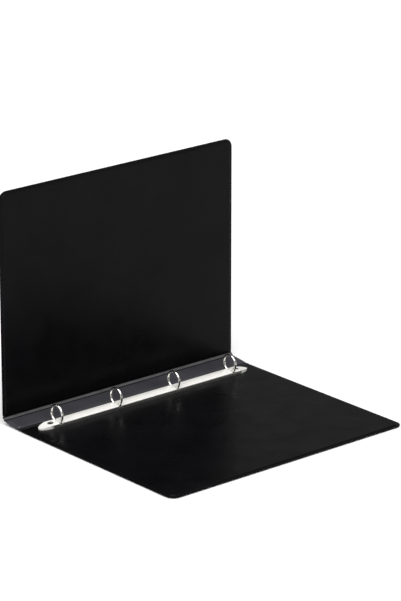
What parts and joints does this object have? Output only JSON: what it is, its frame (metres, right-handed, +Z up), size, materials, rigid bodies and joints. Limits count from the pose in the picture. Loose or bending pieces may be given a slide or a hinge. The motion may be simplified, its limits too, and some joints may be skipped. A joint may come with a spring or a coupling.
{
  "type": "ring binder",
  "caption": "Black A4 ring binder with welded vinyl covers, clear outside pockets and a slim metal mechanism of round rings, standing open.",
  "frame": {"origin": "centre of the back cover's underside, on the outer face of its clear pocket film", "axes": "+X along the spine towards the top end, where the pockets open; the back cover's free edge towards -Y, the spine and the front cover on the +Y side; +Z up, away from the surface the back cover lies on"},
  "size_m": [0.318, 0.279, 0.255],
  "materials": {
    "black_vinyl": "gloss",
    "clear_film": "gloss",
    "greyboard": "matte",
    "plated_steel": "polished",
    "rail_steel": "satin",
    "ring_steel": "polished",
    "rivet_steel": "polished"
  },
  "bodies": {
    "back_cover": {"back_board": "greyboard", "back_inner_skin": "black_vinyl", "back_outer_skin": "black_vinyl", "back_pocket_film": "clear_film", "ring_shield": "plated_steel", "bottom_rivet": "rivet_steel", "top_rivet": "rivet_steel"},
    "back_web": {"back_hinge_web": "black_vinyl"},
    "spine": {"spine_board": "greyboard", "spine_inner_skin": "black_vinyl", "spine_outer_skin": "black_vinyl", "spine_pocket_film": "clear_film"},
    "front_web": {"front_hinge_web": "black_vinyl"},
    "front_cover": {"front_board": "greyboard", "front_inner_skin": "black_vinyl", "front_outer_skin": "black_vinyl", "front_pocket_film": "clear_film"},
    "left_rail": {"left_rail": "rail_steel", "ring_1_left": "ring_steel", "ring_2_left": "ring_steel", "ring_3_left": "ring_steel", "ring_4_left": "ring_steel"},
    "right_rail": {"right_rail": "rail_steel", "ring_1_right": "ring_steel", "ring_2_right": "ring_steel", "ring_3_right": "ring_steel", "ring_4_right": "ring_steel"}
  },
  "joints": [
    {"name": "back_crease", "type": "hinge", "parent": "back_cover", "child": "back_web", "pos_m": [0, 0.12375, 0.0016], "axis": [1, 0, 0], "range_deg": [-3.5, 41.5]},
    {"name": "back_spine_crease", "type": "hinge", "parent": "back_web", "child": "spine", "pos_m": [0, 0.12824, 0.00187], "axis": [1, 0, 0], "range_deg": [-3.5, 41.5]},
    {"name": "front_spine_crease", "type": "hinge", "parent": "spine", "child": "front_web", "pos_m": [0, 0.15107, 0.00468], "axis": [1, 0, 0], "range_deg": [-41.5, 3.5]},
    {"name": "front_crease", "type": "hinge", "parent": "front_web", "child": "front_cover", "pos_m": [0, 0.15405, 0.00805], "axis": [1, 0, 0], "range_deg": [-41.5, 3.5]},
    {"name": "left_rail_rock", "type": "hinge", "parent": "back_cover", "child": "left_rail", "pos_m": [0, 0.10515, 0.0044], "axis": [-1, 0, 0], "range_deg": [-16, 0]},
    {"name": "right_rail_rock", "type": "hinge", "parent": "back_cover", "child": "right_rail", "pos_m": [0, 0.11735, 0.0044], "axis": [1, 0, 0], "range_deg": [-16, 0]}
  ],
  "couplings": [
    {"joint": "right_rail_rock", "follows": "left_rail_rock", "ratio": 1}
  ]
}
